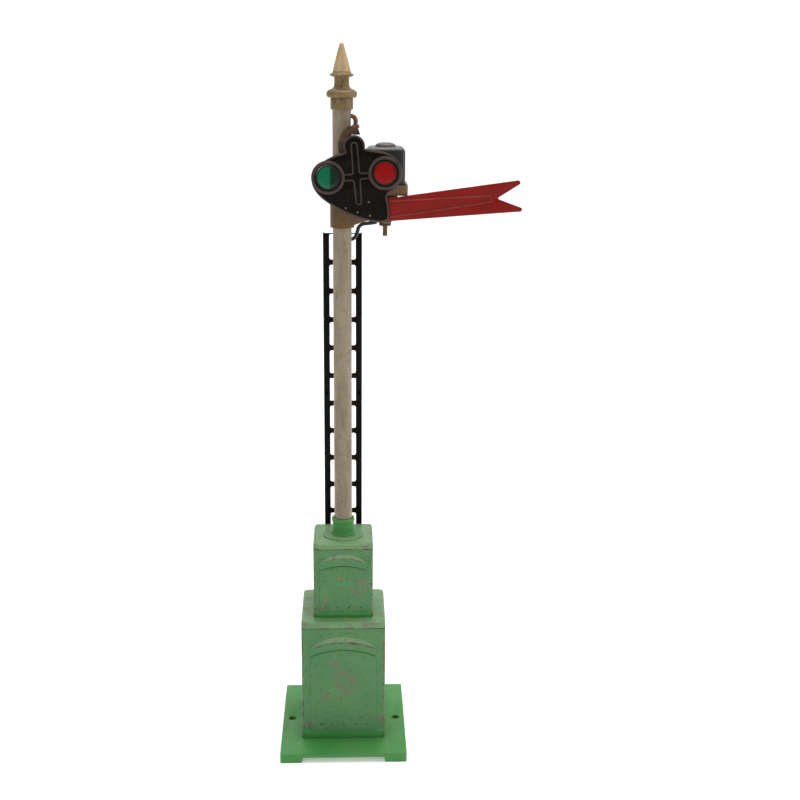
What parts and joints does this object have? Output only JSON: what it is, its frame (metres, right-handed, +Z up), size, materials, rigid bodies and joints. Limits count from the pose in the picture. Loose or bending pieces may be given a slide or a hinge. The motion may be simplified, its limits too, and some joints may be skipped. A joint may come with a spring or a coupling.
{
  "type": "model signal mast",
  "caption": "Model railway semaphore mast: two-tier pedestal, round mast with ladder and finial, two-lens spectacle with swallow-tailed arm, lamp housing and coil-worked linkage.",
  "frame": {"origin": "on the layout surface, on the mast's axis, midway between the two fixing holes", "axes": "+Z up along the mast, +X along the signal arm, -Y is the front that shows the lenses"},
  "size_m": [0.125, 0.0788, 0.375],
  "materials": {
    "green_enamel": "weathered satin enamel on pressed steel, chipped at the edges",
    "cream_paint": "aged cream paint with brown stains and pitting",
    "gilt": "dull gold bronze paint",
    "black_enamel": "black enamel, worn grey-brown on raised edges",
    "red_enamel": "brick red enamel, slightly worn on the ridges",
    "steel": "dull plated steel",
    "brass": "tarnished brass",
    "aged_wire": "brown, coppery tarnish",
    "fibre": "red-brown vulcanised fibre",
    "coil_wire": "enamelled copper wire",
    "green_glass": "transparent green",
    "red_glass": "transparent red",
    "clear_glass": "clear bulb glass",
    "lead_rubber": "black insulated lead"
  },
  "bodies": {
    "mast": {"base_plate": "green_enamel", "base_screws": "steel", "lower_case": "green_enamel", "lower_lid": "green_enamel", "upper_case": "green_enamel", "upper_lid": "green_enamel", "tier_screws": "steel", "mast_collar": "green_enamel", "mast_nut": "brass", "mast_tube": "cream_paint", "finial": "gilt", "finial_ferrule": "gilt", "ladder_upper": "black_enamel", "ladder_lower": "black_enamel", "ladder_splices": "black_enamel", "ladder_screw": "steel", "head_bracket": "gilt", "pivot_bush": "brass", "coil_frame": "steel", "coil_bobbin": "fibre", "coil_winding": "coil_wire", "core_plug": "steel", "coil_screws": "steel", "lamp_tray": "gilt", "lamp_socket": "fibre", "socket_washer": "fibre", "lamp_tag": "brass", "lamp_stud": "aged_wire", "lamp_nut": "steel", "lamp_lead": "lead_rubber", "post_bushes": "fibre", "post_studs": "brass"},
    "signal_arm": {"spectacle": "black_enamel", "green_lens": "green_glass", "red_lens": "red_glass", "lens_rings": "black_enamel", "arm_blade": "red_enamel", "arm_rivets": "steel", "crank_pin": "steel", "pivot_shaft": "steel", "pivot_washer": "steel"},
    "operating_gear": {"operating_rod": "aged_wire", "link_plate": "aged_wire", "plunger": "steel"},
    "lamp_cover": {"lamp_housing": "black_enamel", "lamp_cap": "black_enamel"},
    "bulb": {"bulb_glass": "clear_glass", "bulb_base": "brass"},
    "nut_left": {"thumb_nut_left": "brass"},
    "nut_centre": {"thumb_nut_centre": "brass"},
    "nut_right": {"thumb_nut_right": "brass"}
  },
  "joints": [
    {"name": "arm_pivot", "type": "hinge", "parent": "mast", "child": "signal_arm", "pos_m": [0.0061, 0, 0.3256], "axis": [0, -1, 0], "range_deg": [0, 90]},
    {"name": "rod_slide", "type": "slide", "parent": "mast", "child": "operating_gear", "axis": [0, 0, -1], "range_m": [0, 0.00396]},
    {"name": "cover_lift", "type": "slide", "parent": "mast", "child": "lamp_cover", "axis": [0, 0, 1], "range_m": [0, 0.03]},
    {"name": "bulb_turn", "type": "hinge", "parent": "mast", "child": "bulb", "pos_m": [0.02195, 0, 0.3], "axis": [0, 0, 1], "range_deg": [0, 900]},
    {"name": "nut_left_turn", "type": "hinge", "parent": "mast", "child": "nut_left", "pos_m": [-0.015, 0.03107, 0.009], "axis": [0, 0, 1], "range_deg": [0, 1080]},
    {"name": "nut_centre_turn", "type": "hinge", "parent": "mast", "child": "nut_centre", "pos_m": [0, 0.03107, 0.009], "axis": [0, 0, 1], "range_deg": [0, 1080]},
    {"name": "nut_right_turn", "type": "hinge", "parent": "mast", "child": "nut_right", "pos_m": [0.015, 0.03107, 0.009], "axis": [0, 0, 1], "range_deg": [0, 1080]}
  ],
  "couplings": [
    {"joint": "rod_slide", "follows": "arm_pivot", "m_per_rad": 0.00252}
  ]
}
